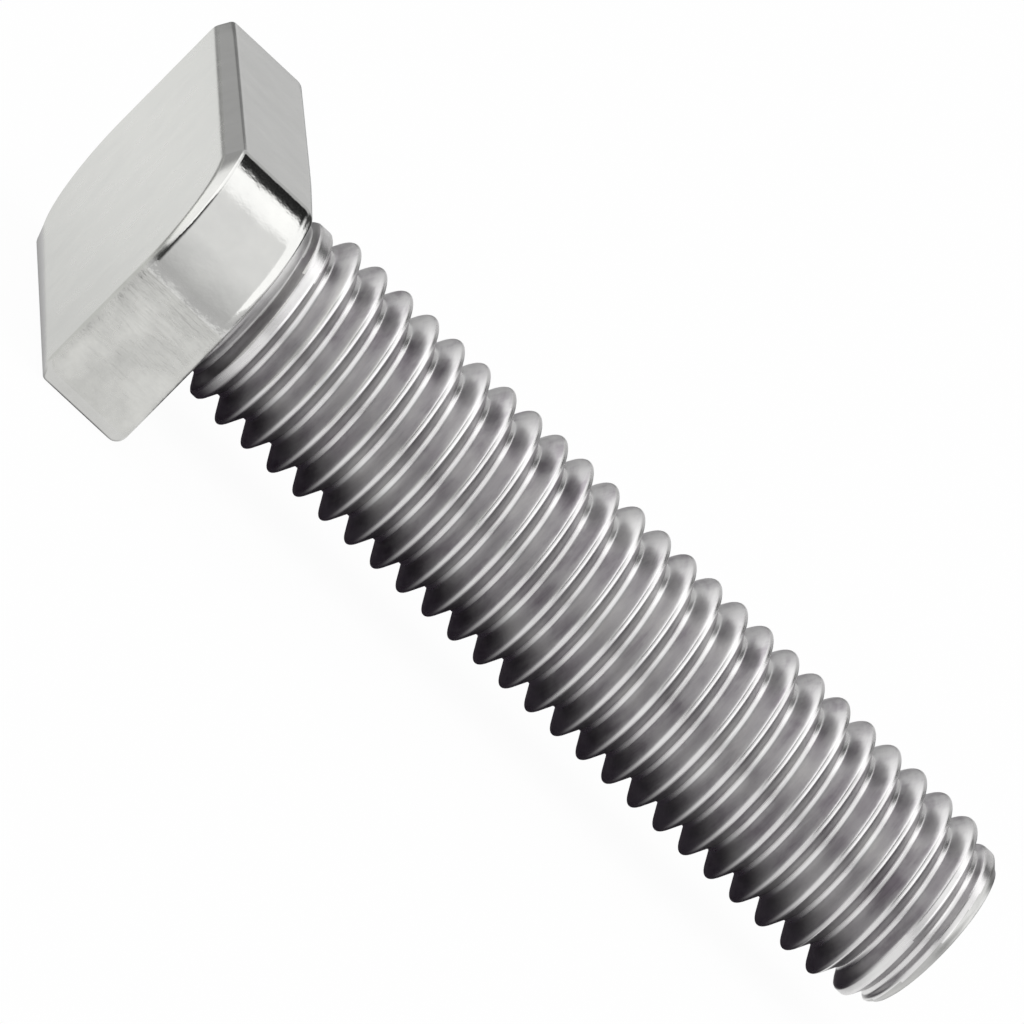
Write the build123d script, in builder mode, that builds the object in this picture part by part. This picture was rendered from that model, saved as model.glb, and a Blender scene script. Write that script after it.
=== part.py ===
"""Hammer head bolt, M8 x 35, for 28/15 mounting channel.

The bolt lies on one long side of its head. The thread's axis is X, with the threaded end towards +X.
The origin is on that axis, in the bearing plane under the head. Z is up, and the head is longest along Y.
"""

import os
from math import ceil, radians, tan

from build123d import *

# ---- Driving dimensions, in millimetres and degrees ----

# Thread: ISO metric coarse, right-hand, rolled
nominal_diameter = 8.0
crest_allowance = 0.13  # a rolled crest ends this much under the nominal diameter
pitch = 1.25
thread_angle = 60.0
depth_per_pitch = 0.6134
bolt_length = 35.0  # from the bearing plane to the end face
groove_angle = 45.0  # where the thread groove meets the bearing plane, from +Y towards +Z

# Hammer head: a bar with one diagonal pair of corners cut to an arc, so that it can turn in the channel
head_length = 22.4
head_width = 10.1
head_height = 3.9
turning_length = 3.2  # how much of the head's length each arc takes
turning_offset = 0.25  # where each arc runs into the short end, from the middle of the head's width
turning_blend_radius = 1.0  # where each arc meets the long side
corner_radius = 0.5  # the other pair of corners
bearing_edge_radius = 0.45
largest_edge_share = 0.9  # of the corner radius that the bearing edge's rounding runs along

# Bevel round the top of the head
bevel_height = 0.34
long_side_bevel = 0.68
short_side_bevel = 0.2
top_turning_length = 3.5
bevel_corner_radius = 0.25

# Plain neck under the head, and the cone by which it goes down to the thread's root
neck_length = 0.9
neck_fillet_radius = 0.5
root_run_out = 0.9

# Ends of the thread: over these turns it rises out of the neck, and falls towards the end face
run_out_turns = 2
run_out_height = 0.02  # what is left of the thread where a run-out ends
thread_overlap = 0.1  # how far the thread's section goes on inside the core
end_face_radius = 3.1  # inside a 45 degree chamfer

# ---- Sizes worked out from the ones above ----

crest_radius = (nominal_diameter - crest_allowance) / 2
thread_depth = depth_per_pitch * pitch
root_radius = crest_radius - thread_depth
neck_radius = (crest_radius + root_radius) / 2  # the blank, before the thread is rolled
fillet_outer_radius = neck_radius + neck_fillet_radius

flank_slope = tan(radians(thread_angle / 2))
half_crest_flat = pitch / 16
root_rise = (neck_radius - root_radius) / root_run_out
neck_cone_end = neck_length + root_run_out + thread_overlap / root_rise

thread_start = pitch / 2  # the thread begins inside the neck
thread_turns = ceil((bolt_length - thread_start) / pitch)
thread_end = thread_start + thread_turns * pitch


def head_outline(length, width, arc_length, eased_radius):
    """A rectangle with its -Y+Z and +Y-Z corners cut to an arc, and the other two just eased."""
    end = length / 2
    side = width / 2
    side_end = end - arc_length
    with BuildSketch() as outline:
        with BuildLine():
            TangentArc((end, -turning_offset), (side_end, -side), tangent=(0, -1))
            Polyline((side_end, -side), (-end, -side), (-end, turning_offset))
            TangentArc((-end, turning_offset), (-side_end, side), tangent=(0, 1))
            Polyline((-side_end, side), (end, side), (end, -turning_offset))
        make_face()
        fillet(outline.vertices().sort_by(lambda corner: corner.X * corner.Y)[:2], turning_blend_radius)
        fillet(outline.vertices().sort_by(lambda corner: corner.X * corner.Y)[-2:], eased_radius)
    return outline.sketch


def thread_section(turn):
    """The thread's section in the plane Y = 0 after this many turns: lower where it runs out at each end."""
    share_of_depth = min(1, turn / run_out_turns, (thread_turns - turn) / run_out_turns)
    height = max(run_out_height, share_of_depth * thread_depth)
    position = thread_start + turn * pitch
    half_top = half_crest_flat + (thread_depth - height) * flank_slope
    half_foot = half_crest_flat + (thread_depth + thread_overlap) * flank_slope
    with BuildSketch(Plane((root_radius, 0, position), x_dir=(1, 0, 0), z_dir=(0, -1, 0))) as section:
        with BuildLine():
            Polyline(
                (-thread_overlap, -half_foot),
                (height, -half_top),
                (height, half_top),
                (-thread_overlap, half_foot),
                close=True,
            )
        make_face()
    return section.sketch.face()


# The shank stands on Z, from the bearing plane at Z = 0
with BuildPart() as shank:
    # Core, at the thread's root
    with BuildSketch(Plane.XY.offset(-head_height / 2)):
        Circle(root_radius)
    extrude(amount=thread_end + head_height / 2)

    # Thread, turn by turn
    for turn in range(thread_turns):
        with BuildLine(mode=Mode.PRIVATE) as helix:
            Helix(pitch, pitch, root_radius, center=(0, 0, thread_start + turn * pitch))
        sweep(
            sections=[thread_section(turn), thread_section(turn + 1)],
            path=helix.line,
            is_frenet=True,
            multisection=True,
        )

    # End face and chamfer
    with BuildSketch(Plane.XZ):
        with BuildLine():
            Polyline(
                (0, bolt_length),
                (end_face_radius, bolt_length),
                (end_face_radius + pitch, bolt_length - pitch),
                (end_face_radius + pitch, thread_end + pitch),
                (0, thread_end + pitch),
                close=True,
            )
        make_face()
    revolve(axis=Axis.Z, mode=Mode.SUBTRACT)

    # Neck: a fillet under the head, then a cone that goes down into the first thread roots
    with BuildSketch(Plane.XZ):
        with BuildLine():
            RadiusArc((fillet_outer_radius, 0), (neck_radius, neck_fillet_radius), neck_fillet_radius)
            Polyline(
                (neck_radius, neck_fillet_radius),
                (neck_radius, neck_length),
                (root_radius - thread_overlap, neck_cone_end),
                (0, neck_cone_end),
                (0, -head_height / 2),
                (fillet_outer_radius, -head_height / 2),
                (fillet_outer_radius, 0),
            )
        make_face()
    revolve(axis=Axis.Z)

with BuildPart() as hammer_head_bolt:
    # Head: the full outline up to the bevel, with the edges of its bearing face rounded
    outline = head_outline(head_length, head_width, turning_length, corner_radius)
    side_height = head_height - bevel_height
    with BuildSketch(Plane.YZ):
        add(outline)
    extrude(amount=-side_height)
    bearing_face = hammer_head_bolt.faces().sort_by(Axis.X)[-1]
    fillet(bearing_face.edges(), min(bearing_edge_radius, largest_edge_share * corner_radius))

    # Bevel: from the full outline in to the top face
    top_outline = head_outline(
        head_length - 2 * short_side_bevel,
        head_width - 2 * long_side_bevel,
        top_turning_length,
        bevel_corner_radius,
    )
    with BuildSketch(Plane.YZ.offset(-side_height)):
        add(outline)
    with BuildSketch(Plane.YZ.offset(-head_height)):
        add(top_outline)
    loft(ruled=True)

    with Locations(Plane.YZ.rotated((groove_angle, 0, 0))):
        add(shank.part)

hammer_head_bolt.part.label = "hammer_head_bolt"

os.makedirs("parts", exist_ok=True)
export_step(hammer_head_bolt.part, "parts/hammer_head_bolt.step")
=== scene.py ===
"""Looks of the hammer head bolt: one stainless steel piece, with its finishes, floor, light and camera.

Lengths are millimetres until a mesh or a camera is made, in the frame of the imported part:
the thread's axis is X, the bearing plane under the head is at X = 0, and Z is up.
"""

import math

import bpy
from mathutils import Matrix, Vector


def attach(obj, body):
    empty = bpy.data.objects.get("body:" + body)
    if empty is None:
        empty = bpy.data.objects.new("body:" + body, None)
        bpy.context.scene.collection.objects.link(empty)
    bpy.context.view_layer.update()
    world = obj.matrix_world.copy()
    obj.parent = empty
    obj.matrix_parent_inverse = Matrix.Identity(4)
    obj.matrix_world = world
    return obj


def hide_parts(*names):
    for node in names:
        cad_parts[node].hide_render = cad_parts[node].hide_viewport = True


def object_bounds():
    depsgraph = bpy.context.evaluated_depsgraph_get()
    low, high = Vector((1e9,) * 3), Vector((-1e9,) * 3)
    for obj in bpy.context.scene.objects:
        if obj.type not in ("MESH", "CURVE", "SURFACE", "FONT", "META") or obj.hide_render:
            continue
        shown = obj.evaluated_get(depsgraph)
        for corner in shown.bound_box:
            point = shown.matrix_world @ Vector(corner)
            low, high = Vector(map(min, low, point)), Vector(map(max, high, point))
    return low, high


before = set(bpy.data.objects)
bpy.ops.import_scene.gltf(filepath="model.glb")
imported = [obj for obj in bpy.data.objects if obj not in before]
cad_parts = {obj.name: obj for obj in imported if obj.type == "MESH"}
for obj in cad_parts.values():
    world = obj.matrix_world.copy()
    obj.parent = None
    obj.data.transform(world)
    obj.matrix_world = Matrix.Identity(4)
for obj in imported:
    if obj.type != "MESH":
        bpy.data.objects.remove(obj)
cad_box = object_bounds()

MM = 0.001

# ---- Head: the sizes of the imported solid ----
head_length = 22.4
head_width = 10.1
head_height = 3.9
turning_length = 3.2
turning_offset = 0.25
turning_blend_radius = 1.0
corner_radius = 0.5
bevel_height = 0.34
short_side_bevel = 0.2
top_turning_length = 3.5
bevel_corner_radius = 0.25

# What forging leaves on the head: the bevel narrows along each long side, its edges are rounded,
# and the bearing face's edge is rounder near the places where a long side meets a turning arc
long_bevel_wide = 0.78
long_bevel_narrow = 0.58
bevel_edge_round = 0.13
bearing_edge_radius = 0.44
bearing_edge_bulge = 0.2
bulge_reach = 3.0

# ---- Shank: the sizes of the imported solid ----
nominal_diameter = 8.0
crest_allowance = 0.13
pitch = 1.25
thread_angle = 60.0
depth_per_pitch = 0.6134
bolt_length = 35.0
groove_angle = 45.0
neck_fillet_radius = 0.5
neck_length = 0.9
root_run_out = 0.9
run_out_turns = 2
end_face_radius = 3.1
crest_radius = (nominal_diameter - crest_allowance) / 2
thread_depth = depth_per_pitch * pitch
flank_slope = math.tan(math.radians(thread_angle / 2))
half_crest_flat = pitch / 16
root_radius = crest_radius - thread_depth
neck_radius = crest_radius - thread_depth / 2
thread_start = pitch / 2
thread_turns = math.ceil((bolt_length - thread_start) / pitch)
half_foot = half_crest_flat + thread_depth * flank_slope

# What rolling leaves on the thread: over what height each pair of surfaces is blended, radially
crest_round = 0.13
root_round = 0.11
neck_round = 0.03
chamfer_round = 0.05
end_round = 0.08
surface_end = bolt_length - end_round  # where the end face's rounding takes over
# The end face's rounding: how far in each ring is, and how far short of the face, in end_rounds
end_profile = ((0.3, 0.3), (1.0, 0.0), (2.0, 0.0))

# Where the thread's finishes change: along the axis, below the crests, above the roots, in turns
neck_finish_end = 1.9
burnished_depth = 0.05
root_depth = 0.035
# before this turn all flanks take the painted shade of the groove beside the neck
first_full_turn = 1.6

# ---- Mesh steps ----
corner_steps = 7
long_side_steps = 8
blend_steps = 6
turning_steps = 22
short_side_steps = 3
edge_steps = 5
bearing_steps = 8
support_width = 0.05  # of the narrow faces beside a rounding, which keep flat faces looking flat
shank_columns = 112
fillet_steps = 6
turns_before_thread = 2  # where the rows of points start, so that they reach the neck all round it
# How far before and after each crest the thread's surface has points
crest_offsets = (0.04, 0.07, 0.10, 0.14, 0.22, 0.30, 0.38, 0.44, 0.49, 0.52, 0.55, 0.59)

# ---- Finishes ----
# On the head: dark and light colour, roughness and how much it drifts, height of the grain and of
# the swell in relief, and the grain's scale along X, Y and Z
head_steels = {
    "head_top": ((0.57, 0.575, 0.545), (0.67, 0.675, 0.64), 0.26, 0.12, 0.007, 0.006),
    "head_side": ((0.61, 0.61, 0.59), (0.71, 0.71, 0.69), 0.20, 0.10, 0.005, 0.008),
    "head_bevel": ((0.62, 0.62, 0.60), (0.68, 0.68, 0.66), 0.12, 0.06, 0.002, 0.003),
    "turning_bevel": ((0.53, 0.53, 0.515), (0.61, 0.61, 0.59), 0.15, 0.10, 0.004, 0.004),
    "turning_arc": ((0.65, 0.65, 0.635), (0.71, 0.71, 0.69), 0.10, 0.10, 0.017, 0.056, (0.4, 0.4, 0.4)),
    "sheared_end": ((0.55, 0.55, 0.53), (0.75, 0.75, 0.72), 0.27, 0.16, 0.030, 0.014, (0.16, 0.7, 0.7)),
}
# On the shank: dark, middle and light colour, roughness, and height of the lines in relief
shank_steels = {
    "neck": ((0.46, 0.45, 0.46), (0.61, 0.605, 0.60), (0.74, 0.735, 0.73), 0.34, 0.006),
    "flank": ((0.46, 0.43, 0.46), (0.71, 0.70, 0.705), (0.83, 0.825, 0.82), 0.26, 0.004),
    # painted shade: a darker copy of the flank, for the flanks facing the tip and those before the first
    # full turn
    "painted_shade_flank": ((0.26, 0.24, 0.26), (0.37, 0.36, 0.37), (0.46, 0.45, 0.45), 0.26, 0.004),
    # burnished crests and roots, their colour lightened further as a painted highlight
    "burnish_and_highlight": ((0.68, 0.67, 0.67), (0.80, 0.79, 0.79), (0.88, 0.88, 0.87), 0.20, 0.003),
    "chamfer": ((0.42, 0.42, 0.41), (0.54, 0.54, 0.53), (0.62, 0.62, 0.60), 0.22, 0.016),
}
finishes = (*head_steels, *shank_steels)

# The finish of each kind of stretch of the head's outline: its bevel, the brow below that, its side
bevel_finish = {"eased": "head_bevel", "long": "head_bevel", "turn": "turning_bevel", "short": "sheared_end"}
brow_finish = {"eased": "head_bevel", "long": "head_bevel", "turn": "turning_arc", "short": "sheared_end"}
side_finish = {"eased": "head_side", "long": "head_side", "turn": "turning_arc", "short": "sheared_end"}

# Noise in the finishes, as its scale per metre
head_drift_scale = 700.0
grain_scale = 3000.0
swell_scale = 450.0
shank_drift_scale = 500.0
line_scale = 5000.0
line_stretch = 0.06  # the lines' scale across the axis, as a share of the scale along it
drift_stops = (0.3, 0.7)  # noise at which the head's steel is darkest and lightest
mottle_stops = (0.36, 0.5, 0.64)  # noise at which the shank's steel has its three colours
mottle_drift_share = 0.65  # of the slow drift in the shank's mottling, the rest being lines
mottle_roughness = 0.15

# ---- Floor ----
floor_reach = 3000.0
floor_colour = (0.9, 0.9, 0.9, 1.0)
floor_glow = 0.96  # what share of the floor is plain white, the rest taking light and shadow
# In reflections the floor is a white sheet that fades out, darker behind the bolt than in front
sheet_centre = (-5.0, 15.0)
sheet_fade_start = 62.0
sheet_fade_end = 110.0
beyond_sheet_back = 0.28
beyond_sheet_front = 0.60
front_back_blend = 10.0
# painted shade in the reflected sheet: it darkens towards Y = 0, under the bolt, out to near_bolt_reach
near_bolt_shade = 0.13
near_bolt_reach = 45.0
# The shade there under the shank, in Y and X, and under the head: each from no shade to full shade
shade_front = (-7.0, -0.4)
shade_back = (14.0, 7.0)
shade_start = (-3.0, 1.0)
shade_end = (34.6, 33.6)
under_head_x = (2.6, 0.8)
under_head_y = (11.0, 10.8)
deepest_shade = (0.014, 0.010, 0.016)

# ---- Studio ----
# Brightness by angle above the back horizon, as a share of half a turn over the zenith
brightest = 1.45
studio_arch = (
    (0.0, 0.75),
    (0.08, 0.70),
    (0.14, 0.55),
    (0.30, 0.55),
    (0.395, 1.45),
    (0.53, 1.40),
    (0.58, 0.98),
    (0.80, 0.96),
    (0.92, 0.76),
    (1.0, 0.57),
)
# The dark strip over the back: by the same angle, and by X of the direction
strip_level = 0.02
strip_start = (0.272, 0.290)
strip_end = (0.425, 0.388)
strip_left = (-0.30, -0.20)
# Brightness low over the back, from left to right, as X of the direction plus a half
low_back = (
    (0.15, 0.43),
    (0.31, 0.43),
    (0.36, 0.20),
    (0.55, 0.20),
    (0.62, 0.63),
    (0.90, 0.63),
)
low_back_top = (0.30, 0.24)
# Brightness at both sides, by the sine of the angle above the horizon
left_side = (
    (0.0, 0.45),
    (0.15, 0.45),
    (0.21, 1.45),
    (0.70, 1.40),
    (0.90, 0.90),
)
right_side = (
    (0.0, 0.70),
    (0.12, 0.75),
    (0.20, 1.40),
    (0.90, 1.40),
)
# The dark gap in each side, towards the front on the left and the back on the right: X and Y
gap_level = 0.05
left_gap = ((-0.86, -0.80), (0.05, -0.12))
right_gap = ((0.70, 0.60), (0.42, 0.54))
# Where each side takes over from the arch, by X of the direction
left_reach = (-0.30, -0.74)
right_reach = (0.34, 0.52)

# ---- Camera ----
view_azimuth = math.radians(-11.92)
view_elevation = math.radians(9.35)
view_roll = math.radians(44.9)
view_distance = 722.9
view_target = Vector((13.66, 0.0, 0.81))
sensor_width = 36.0
lens_length = 730.4
view_limit = 100.0  # metres


# ---- Head ----
def half_outline(length, width_start, width_end, arc_length, blend_radius, eased_radius):
    """Half of the head's outline, from the eased +Y+Z corner to the -Y end's straight part.

    Each entry is (y, z, outward y, outward z, kind). The long side's Z runs from width_start to width_end.
    """
    end = length / 2
    points = []

    def arc(centre, radius, first, last, steps, kind):
        for step in range(steps):
            angle = math.radians(first + (last - first) * step / steps)
            out = (math.cos(angle), math.sin(angle))
            points.append((centre[0] + radius * out[0], centre[1] + radius * out[1], *out, kind))

    def straight(start, finish, out, steps, kind):
        for step in range(steps):
            share = step / steps
            y = start[0] + (finish[0] - start[0]) * share
            z = start[1] + (finish[1] - start[1]) * share
            points.append((y, z, *out, kind))

    rise = width_end / 2 - turning_offset
    arc_radius = (arc_length**2 + rise**2) / (2 * arc_length)
    arc_centre = (arc_radius - end, turning_offset)
    # the blend's circle touches the long side and the turning arc from inside
    blend_z = width_end / 2 - blend_radius
    reach = arc_radius - blend_radius
    blend_y = arc_centre[0] - math.sqrt(reach**2 - (blend_z - arc_centre[1]) ** 2)
    blend_angle = math.degrees(math.atan2(blend_z - arc_centre[1], blend_y - arc_centre[0]))
    top = width_start / 2
    arc((end - eased_radius, top - eased_radius), eased_radius, 0, 90, corner_steps, "eased")
    straight((end - eased_radius, top), (blend_y, width_end / 2), (0.0, 1.0), long_side_steps, "long")
    arc((blend_y, blend_z), blend_radius, 90, blend_angle, blend_steps, "turn")
    arc(arc_centre, arc_radius, blend_angle, 180, turning_steps, "turn")
    finish = (-end, eased_radius - width_start / 2)
    straight((-end, turning_offset), finish, (-1.0, 0.0), short_side_steps, "short")
    return points


def full_outline(*sizes):
    half = half_outline(*sizes)
    return half + [(-y, -z, -out_y, -out_z, kind) for y, z, out_y, out_z, kind in half]


def bezier(a, b, c, steps):
    """Points on a quadratic curve from a to c that leaves and arrives along the lines to b."""
    made = []
    for step in range(steps + 1):
        t = step / steps
        made.append(a * (1 - t) ** 2 + b * (2 * t * (1 - t)) + c * t**2)
    return made


def head_columns():
    """For each point of the outline, a column of points from the top face round to the bearing face."""
    side = full_outline(
        head_length, head_width, head_width, turning_length, turning_blend_radius, corner_radius
    )
    top = full_outline(
        head_length - 2 * short_side_bevel,
        head_width - 2 * long_bevel_narrow,
        head_width - 2 * long_bevel_wide,
        top_turning_length,
        turning_blend_radius,
        bevel_corner_radius,
    )
    turn_start = head_length / 2 - turning_length
    down = Vector((1.0, 0.0, 0.0))
    columns = []
    for (y, z, out_y, out_z, kind), (top_y, top_z, top_out_y, top_out_z, _) in zip(side, top):
        out = Vector((0.0, out_y, out_z))
        top_out = Vector((0.0, top_out_y, top_out_z))
        brow = Vector((bevel_height - head_height, y, z))
        crown = Vector((-head_height, top_y, top_z))
        slope = (crown - brow).normalized()
        side_start = brow + bevel_edge_round * down
        flat_start = crown - bevel_edge_round * top_out
        column = [flat_start - support_width * top_out]
        column += bezier(flat_start, crown, crown - bevel_edge_round * slope, edge_steps)
        column += bezier(brow + bevel_edge_round * slope, brow, side_start, edge_steps)
        # how far it is to the nearer of the two places where a long side meets a turning arc
        apart = math.hypot(y + turn_start, z - head_width / 2)
        apart = min(apart, math.hypot(y - turn_start, z + head_width / 2))
        radius = bearing_edge_radius + bearing_edge_bulge * math.exp(-((apart / bulge_reach) ** 2))
        foot = Vector((0.0, y, z))
        column.append(side_start + support_width * down)
        column.append(foot - (radius + support_width) * down)
        for step in range(bearing_steps + 1):
            angle = math.pi / 2 * step / bearing_steps
            sunk = radius * (1 - math.cos(angle))
            column.append(foot - sunk * out - radius * (1 - math.sin(angle)) * down)
        column.append(foot - (radius + support_width) * out)
        columns.append((column, kind))
    return columns


# ---- Shank ----
def soft_min(a, b, reach):
    """The smaller of the two, blended where they are less than this reach apart."""
    overlap = max(reach - abs(a - b), 0.0) / reach
    return min(a, b) - overlap * overlap * reach / 4


def soft_max(a, b, reach):
    return -soft_min(-a, -b, reach)


def nearest_ridge(x, turn_share):
    """How far along the axis this place is past the nearest crest, and that crest's turn of the thread."""
    ridges = (x - thread_start) / pitch - turn_share
    ridge = round(ridges)
    return (ridges - ridge) * pitch, ridge + turn_share


def ridge_height(turn):
    return thread_depth * min(1, max(0, turn / run_out_turns), max(0, (thread_turns - turn) / run_out_turns))


def neck_surface(x):
    return neck_radius - max(0, x - neck_length) * (neck_radius - root_radius) / root_run_out


def shank_radius(x, turn_share):
    """Distance of the surface from the axis, this share of a turn on from the groove angle."""
    past, turn = nearest_ridge(x, turn_share)
    flank = root_radius + (half_foot - abs(past)) / flank_slope
    radius = soft_min(root_radius + ridge_height(turn), flank, crest_round)
    radius = soft_max(radius, root_radius, root_round)
    radius = soft_max(radius, neck_surface(x), neck_round)
    return soft_min(radius, end_face_radius + bolt_length - x, chamfer_round)


def thread_finish(x, turn_share):
    """Which finish each place takes: the neck, the chamfer, burnished crests and roots lightened further as
    a painted highlight, and flanks darkened as painted shade where they face the tip and before the first
    full turn.
    """
    past, turn = nearest_ridge(x, turn_share)
    radius = shank_radius(x, turn_share)
    if x < neck_finish_end and radius < neck_surface(x) + burnished_depth:
        return "neck"
    if radius > end_face_radius + bolt_length - x - burnished_depth:
        return "chamfer"
    # crests and roots: burnished, and lighter as a painted highlight
    if radius > root_radius + ridge_height(turn) - burnished_depth or radius < root_radius + root_depth:
        return "burnish_and_highlight"
    # painted shade on the flanks facing the tip and on all flanks before the first full turn
    return "painted_shade_flank" if past > 0 or turn < first_full_turn else "flank"


def thread_rows():
    """Where along the axis the first column has its points, and how many of them there are to a turn.

    Each further column has them a little further along, so that they follow the helix.
    """
    offsets = [-offset for offset in reversed(crest_offsets)] + [0.0] + list(crest_offsets) + [pitch / 2]
    rows = []
    for turn in range(-turns_before_thread, thread_turns + 1):
        rows += [thread_start + turn * pitch + offset for offset in offsets]
    return rows, len(offsets)


def round_axis(x, radius, turn_share):
    angle = math.radians(groove_angle) + 2 * math.pi * turn_share
    return (x, radius * math.cos(angle), radius * math.sin(angle))


# ---- One closed mesh of the whole bolt ----
class Shell:
    """Collects the points and faces of one mesh, and the number of each face's finish."""

    def __init__(self):
        self.points = []
        self.faces = []
        self.finishes = []

    def point(self, x, y, z):
        self.points.append((x * MM, y * MM, z * MM))
        return len(self.points) - 1

    def ring(self, points):
        return [self.point(*p) for p in points]

    def face(self, corners, finish):
        """A face without its repeated corners, or none where fewer than three are left."""
        kept = [c for place, c in enumerate(corners) if c != corners[place - 1]]
        if len(kept) > 2:
            self.faces.append(kept)
            self.finishes.append(finishes.index(finish))

    def band(self, upper, lower, finish):
        """Quads between two rings. finish is one name, or a list with a name for each quad."""
        names = finish if isinstance(finish, list) else [finish] * len(upper)
        for i, name in enumerate(names):
            j = (i + 1) % len(upper)
            self.face([upper[i], upper[j], lower[j], lower[i]], name)


def add_head(shell):
    """The head, open at the bearing face. Returns the ring where that face begins."""
    columns = head_columns()
    kinds = [kind for _, kind in columns]
    levels = len(columns[0][0])
    rings = [shell.ring([column[level] for column, _ in columns]) for level in range(levels)]
    shell.face(rings[0][::-1], "head_top")
    # from the top face down: its rounded edge, the bevel, the rounded brow, the side, the bearing edge
    bevel_level = edge_steps + 1
    for level in range(levels - 1):
        if level < bevel_level:
            finish = "head_top"
        elif level == bevel_level:
            finish = [bevel_finish[kind] for kind in kinds]
        elif level <= 2 * bevel_level:
            finish = [brow_finish[kind] for kind in kinds]
        elif level < levels - 2:
            finish = [side_finish[kind] for kind in kinds]
        else:
            finish = "head_side"
        shell.band(rings[level], rings[level + 1], finish)
    return rings[-1]


def add_thread(shell):
    """The neck's outside and the thread. Returns the rings where they begin and end."""
    first = neck_fillet_radius
    last = surface_end
    rows, rows_per_turn = thread_rows()
    columns = []
    for j in range(shank_columns):
        share = j / shank_columns
        first_point = shell.point(*round_axis(first, shank_radius(first, share), share))
        last_point = shell.point(*round_axis(last, shank_radius(last, share), share))
        column = []
        for row in rows:
            x = row + pitch * share
            if x <= first:
                column.append(first_point)
            elif x >= last:
                column.append(last_point)
            else:
                column.append(shell.point(*round_axis(x, shank_radius(x, share), share)))
        columns.append(column)
    # a full turn on, the first column comes again one pitch further along
    columns.append(columns[0][rows_per_turn:] + [columns[0][-1]] * rows_per_turn)
    for j in range(shank_columns):
        here = columns[j]
        beyond = columns[j + 1]
        share = (j + 0.5) / shank_columns
        for row in range(len(rows) - 1):
            x = (rows[row] + rows[row + 1]) / 2 + pitch * share
            corners = [here[row], beyond[row], beyond[row + 1], here[row + 1]]
            shell.face(corners, thread_finish(x, share))
    return [column[0] for column in columns[:-1]], [column[-1] for column in columns[:-1]]


def add_shank(shell):
    """The neck's fillet, the thread and the end face. Returns the fillet's first ring."""
    shares = [j / shank_columns for j in range(shank_columns)]
    fillet_centre = neck_radius + neck_fillet_radius
    rings = []
    for step in range(fillet_steps):
        angle = math.pi / 2 * step / fillet_steps
        x = neck_fillet_radius * (1 - math.cos(angle))
        radius = fillet_centre - neck_fillet_radius * math.sin(angle)
        rings.append(shell.ring([round_axis(x, radius, share) for share in shares]))
    neck_ring, tip_ring = add_thread(shell)
    rings.append(neck_ring)
    for upper, lower in zip(rings, rings[1:]):
        shell.band(upper, lower, "neck")
    end_rings = [tip_ring]
    for inset, short in end_profile:
        ring = []
        for share in shares:
            radius = shank_radius(surface_end, share) - inset * end_round
            ring.append(shell.point(*round_axis(bolt_length - short * end_round, radius, share)))
        end_rings.append(ring)
    for upper, lower in zip(end_rings, end_rings[1:]):
        shell.band(upper, lower, "chamfer")
    shell.face(end_rings[-1], "sheared_end")
    return rings[0]


def add_bearing_face(shell, outer, inner):
    """Flat triangles between the head's outline and the neck's circle, walked round by angle."""

    def angles(ring):
        """The ring's points as (angle, point), from the smallest angle and once round to it again."""
        found = [math.atan2(shell.points[p][2], shell.points[p][1]) % (2 * math.pi) for p in ring]
        start = found.index(min(found))
        walked = list(zip(found[start:] + found[:start], ring[start:] + ring[:start]))
        return walked + [(walked[0][0] + 2 * math.pi, walked[0][1])]

    a = angles(outer)
    b = angles(inner)
    i = 0
    j = 0
    while i < len(a) - 1 or j < len(b) - 1:
        if j == len(b) - 1 or (i < len(a) - 1 and a[i + 1][0] <= b[j + 1][0]):
            shell.face([a[i][1], a[i + 1][1], b[j][1]], "head_side")
            i += 1
        else:
            shell.face([a[i][1], b[j + 1][1], b[j][1]], "head_side")
            j += 1


def add_bolt(materials):
    shell = Shell()
    bearing_ring = add_head(shell)
    neck_ring = add_shank(shell)
    add_bearing_face(shell, bearing_ring, neck_ring)
    mesh = bpy.data.meshes.new("bolt")
    mesh.from_pydata(shell.points, [], shell.faces)
    for material in materials:
        mesh.materials.append(material)
    mesh.polygons.foreach_set("material_index", shell.finishes)
    mesh.polygons.foreach_set("use_smooth", [True] * len(shell.faces))
    mesh.update()
    bolt = bpy.data.objects.new("bolt", mesh)
    bpy.context.scene.collection.objects.link(bolt)
    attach(bolt, "root")
    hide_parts("hammer_head_bolt")


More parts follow.
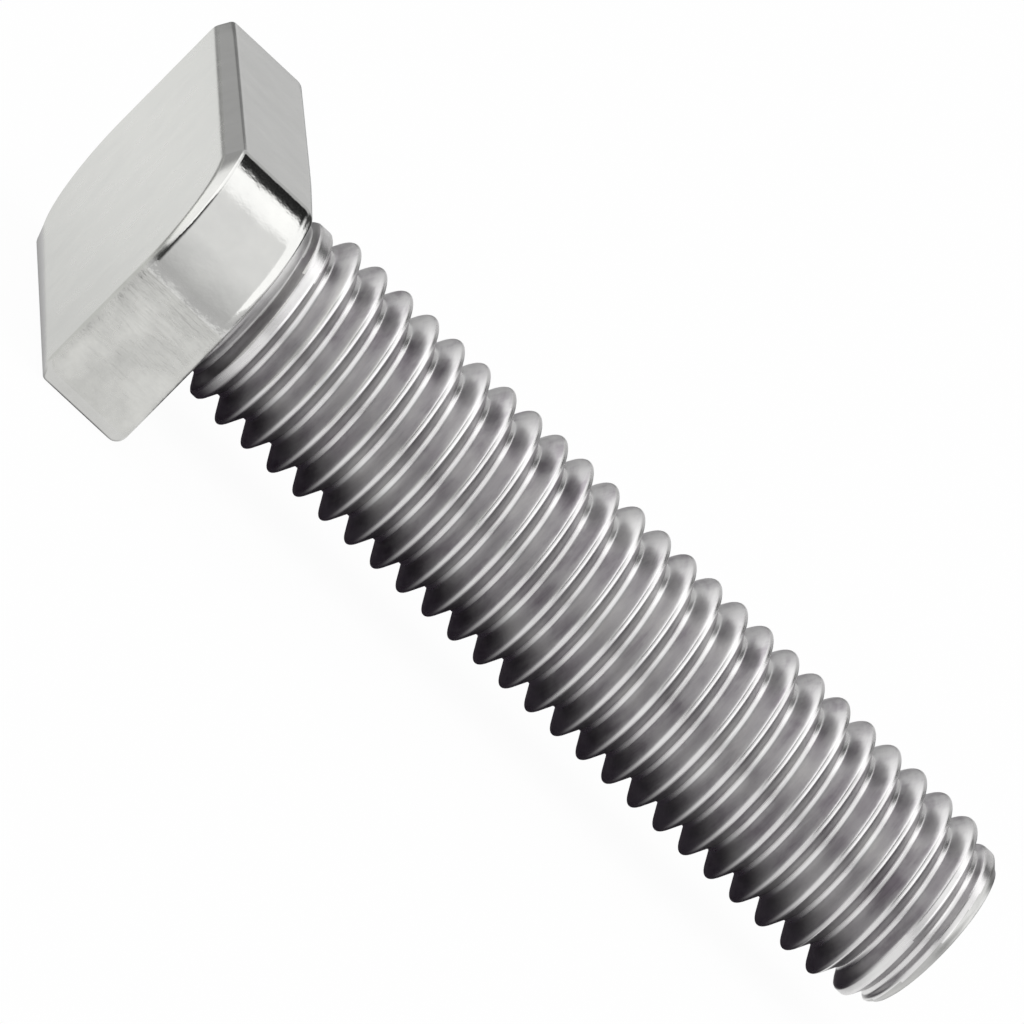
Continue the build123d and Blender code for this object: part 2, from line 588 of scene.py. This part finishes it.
# ---- Materials ----
class Nodes:
    """Adds nodes to one node tree, each with its values and links given by socket name or number."""

    def __init__(self, tree):
        self.tree = tree
        tree.nodes.clear()

    def add(self, kind, inputs=None, **settings):
        node = self.tree.nodes.new(kind)
        for name, value in settings.items():
            setattr(node, name, value)
        for name, value in (inputs or {}).items():
            if isinstance(value, bpy.types.NodeSocket):
                self.tree.links.new(value, node.inputs[name])
            else:
                node.inputs[name].default_value = value
        return node

    def math(self, operation, a, b=0.0):
        return self.add("ShaderNodeMath", {0: a, 1: b}, operation=operation).outputs[0]

    def smooth(self, value, start, end):
        """0 before start and 1 after end, with a soft change between. The start may be above the end."""
        inputs = {"Value": value, "From Min": start, "From Max": end}
        return self.add("ShaderNodeMapRange", inputs, interpolation_type="SMOOTHSTEP").outputs[0]

    def smooth_mm(self, value, limits):
        return self.smooth(value, limits[0] * MM, limits[1] * MM)

    def noise(self, vector, scale, detail=4.0, roughness=0.6):
        inputs = {"Vector": vector, "Scale": scale, "Detail": detail, "Roughness": roughness}
        return self.add("ShaderNodeTexNoise", inputs).outputs[0]

    def stretched(self, vector, x, y, z):
        return self.add("ShaderNodeMapping", {"Vector": vector, "Scale": (x, y, z)}).outputs[0]

    def ramp(self, factor, stops):
        """A colour ramp in grey, or in colour, from a list of (position, value)."""
        node = self.add("ShaderNodeValToRGB", {0: factor})
        elements = node.color_ramp.elements
        while len(elements) < len(stops):
            elements.new(0.5)
        for element, (position, value) in zip(elements, stops):
            element.position = position
            element.color = (*value, 1.0) if isinstance(value, tuple) else (value, value, value, 1.0)
        return node.outputs[0]

    def metal(self, colour, roughness, bump):
        inputs = {"Base Color": colour, "Metallic": 1.0, "Roughness": roughness, "Normal": bump}
        shader = self.add("ShaderNodeBsdfPrincipled", inputs)
        self.add("ShaderNodeOutputMaterial", {"Surface": shader.outputs[0]})


def new_material(name):
    """A material with its nodes cleared, and the place on the object as the first of them."""
    material = bpy.data.materials.new(name)
    material.use_nodes = True
    n = Nodes(material.node_tree)
    return material, n, n.add("ShaderNodeTexCoord").outputs["Object"]


def head_steel(name, dark, light, roughness, spread, grain_height, swell_height, stretch=(1.0, 1.0, 1.0)):
    """Steel whose colour and roughness drift over about a millimetre, with a grain and a slow swell."""
    material, n, place = new_material(name)
    drift = n.noise(place, head_drift_scale)
    fine = n.noise(n.stretched(place, *stretch), grain_scale)
    slow = n.noise(place, swell_scale, detail=1.0, roughness=0.5)
    rough = n.math("ADD", n.math("MULTIPLY", drift, spread), roughness - spread / 2)
    swell = n.add("ShaderNodeBump", {"Height": slow, "Distance": swell_height * MM}).outputs[0]
    grain = {"Height": fine, "Distance": grain_height * MM, "Normal": swell}
    bump = n.add("ShaderNodeBump", grain).outputs[0]
    n.metal(n.ramp(drift, list(zip(drift_stops, (dark, light)))), rough, bump)
    return material


def shank_steel(name, dark, middle, light, roughness, line_height):
    """The shank's steel: mottled over about two millimetres, with fine lines in relief round the axis."""
    material, n, place = new_material(name)
    drift = n.noise(place, shank_drift_scale)
    lines = n.noise(n.stretched(place, 1.0, line_stretch, line_stretch), line_scale, detail=3.0)
    drift_part = n.math("MULTIPLY", drift, mottle_drift_share)
    line_part = n.math("MULTIPLY", lines, 1.0 - mottle_drift_share)
    mottle = n.math("ADD", drift_part, line_part)
    rough = n.math("ADD", n.math("MULTIPLY", mottle, mottle_roughness), roughness)
    bump = n.add("ShaderNodeBump", {"Height": lines, "Distance": line_height * MM}).outputs[0]
    n.metal(n.ramp(mottle, list(zip(mottle_stops, (dark, middle, light)))), rough, bump)
    return material


# ---- Floor, light and camera ----
def white_floor(height):
    """White to the camera, with the object's shadow. Reflections show it as a sheet with a shade on it."""
    material, n, place = new_material("white_floor")
    paths = n.add("ShaderNodeLightPath").outputs
    mirrored = n.math("MAXIMUM", paths["Is Glossy Ray"], paths["Is Transmission Ray"])
    parts = n.add("ShaderNodeSeparateXYZ", {0: place}).outputs
    x = parts["X"]
    y = parts["Y"]

    centre = (sheet_centre[0] * MM, sheet_centre[1] * MM, height)
    away = n.add("ShaderNodeVectorMath", {0: place, 1: centre}, operation="DISTANCE").outputs["Value"]
    sheet = n.smooth_mm(away, (sheet_fade_end, sheet_fade_start))
    in_front = n.smooth_mm(y, (front_back_blend, -front_back_blend))
    beyond = n.math("MULTIPLY", in_front, beyond_sheet_front - beyond_sheet_back)
    sheet = n.math("MAXIMUM", sheet, n.math("ADD", beyond, beyond_sheet_back))
    near = n.smooth_mm(n.math("ABSOLUTE", y), (near_bolt_reach, 0.0))
    sheet = n.math("MULTIPLY", sheet, n.math("SUBTRACT", 1.0, n.math("MULTIPLY", near, near_bolt_shade)))

    shade = n.smooth_mm(y, shade_front)
    shade = n.math("MULTIPLY", shade, n.smooth_mm(y, shade_back))
    shade = n.math("MULTIPLY", shade, n.smooth_mm(x, shade_start))
    shade = n.math("MULTIPLY", shade, n.smooth_mm(x, shade_end))
    from_middle = n.math("ABSOLUTE", n.math("ADD", x, head_height / 2 * MM))
    under_head = n.smooth_mm(n.math("ABSOLUTE", y), under_head_y)
    under_head = n.math("MULTIPLY", under_head, n.smooth_mm(from_middle, under_head_x))
    shade = n.math("MAXIMUM", shade, under_head)

    dimmed = n.math("SUBTRACT", 1.0, n.math("MULTIPLY", n.math("SUBTRACT", 1.0, shade), sheet))
    level = n.math("SUBTRACT", 1.0, n.math("MULTIPLY", dimmed, mirrored))
    shown = n.ramp(level, [(0.0, deepest_shade), (1.0, 1.0)])
    white = n.add("ShaderNodeEmission", {"Color": shown, "Strength": 1.0}).outputs[0]
    diffuse = n.add("ShaderNodeBsdfDiffuse", {"Color": floor_colour}).outputs[0]
    share = n.math("MULTIPLY", n.math("MAXIMUM", paths["Is Camera Ray"], mirrored), floor_glow)
    mixed = n.add("ShaderNodeMixShader", {0: share, 1: diffuse, 2: white})
    n.add("ShaderNodeOutputMaterial", {"Surface": mixed.outputs[0]})
    return material


def add_floor():
    height = cad_box[0][2]
    signs = ((-1, -1), (1, -1), (1, 1), (-1, 1))
    corners = [(x * floor_reach * MM, y * floor_reach * MM, height) for x, y in signs]
    mesh = bpy.data.meshes.new("floor")
    mesh.from_pydata(corners, [], [(0, 1, 2, 3)])
    mesh.materials.append(white_floor(height))
    floor = bpy.data.objects.new("floor", mesh)
    bpy.context.scene.collection.objects.link(floor)


def add_world():
    """A studio: soft light overhead and in front, a dark strip over the back, and a bright box each side."""
    world = bpy.data.worlds.new("studio")
    world.use_nodes = True
    n = Nodes(world.node_tree)
    direction = n.add("ShaderNodeTexCoord").outputs["Generated"]
    parts = n.add("ShaderNodeSeparateXYZ", {0: direction}).outputs
    x = parts["X"]
    y = parts["Y"]
    z = parts["Z"]

    def grey(factor, stops):
        return n.ramp(factor, [(position, level / brightest) for position, level in stops])

    def dark(level):
        return (*[level / brightest] * 3, 1.0)

    def mix(factor, a, b):
        return n.add("ShaderNodeMix", {0: factor, 6: a, 7: b}, data_type="RGBA").outputs[2]

    def side_box(stops, gap):
        opening = n.math("MULTIPLY", n.smooth(x, *gap[0]), n.smooth(y, *gap[1]))
        return mix(opening, grey(z, stops), dark(gap_level))

    angle = n.math("DIVIDE", n.math("ARCTAN2", z, y), math.pi)
    strip = n.math("MULTIPLY", n.smooth(angle, *strip_start), n.smooth(angle, *strip_end))
    strip = n.math("MULTIPLY", strip, n.smooth(x, *strip_left))
    arch = mix(strip, grey(angle, studio_arch), dark(strip_level))
    low = n.math("MULTIPLY", n.smooth(z, *low_back_top), n.math("GREATER_THAN", y, 0.0))
    lit = mix(low, arch, grey(n.math("ADD", x, 0.5), low_back))
    lit = mix(n.smooth(x, *left_reach), lit, side_box(left_side, left_gap))
    lit = mix(n.smooth(x, *right_reach), lit, side_box(right_side, right_gap))
    background = n.add("ShaderNodeBackground", {"Color": lit, "Strength": brightest})
    n.add("ShaderNodeOutputWorld", {"Surface": background.outputs[0]})
    bpy.context.scene.world = world


def look_from(azimuth, elevation, roll, distance, target):
    """A camera matrix: azimuth 0 looks along +Y, and roll turns the camera anticlockwise."""
    back = Vector(
        (
            math.sin(azimuth) * math.cos(elevation),
            -math.cos(azimuth) * math.cos(elevation),
            math.sin(elevation),
        )
    )
    level_right = Vector((math.cos(azimuth), math.sin(azimuth), 0.0))
    level_up = back.cross(level_right)
    right = math.cos(roll) * level_right + math.sin(roll) * level_up
    up = back.cross(right)
    turn = Matrix((right, up, back)).transposed().to_4x4()
    return Matrix.Translation((target + distance * back) * MM) @ turn


def add_camera():
    data = bpy.data.cameras.new("camera")
    data.sensor_width = sensor_width
    data.lens = lens_length
    data.clip_end = view_limit
    camera = bpy.data.objects.new("camera", data)
    bpy.context.scene.collection.objects.link(camera)
    camera.matrix_world = look_from(view_azimuth, view_elevation, view_roll, view_distance, view_target)
    bpy.context.scene.camera = camera


steels = [head_steel(name, *look) for name, look in head_steels.items()]
steels += [shank_steel(name, *look) for name, look in shank_steels.items()]
add_bolt(steels)
add_floor()
add_world()
add_camera()

bpy.context.scene.view_settings.view_transform = "Standard"
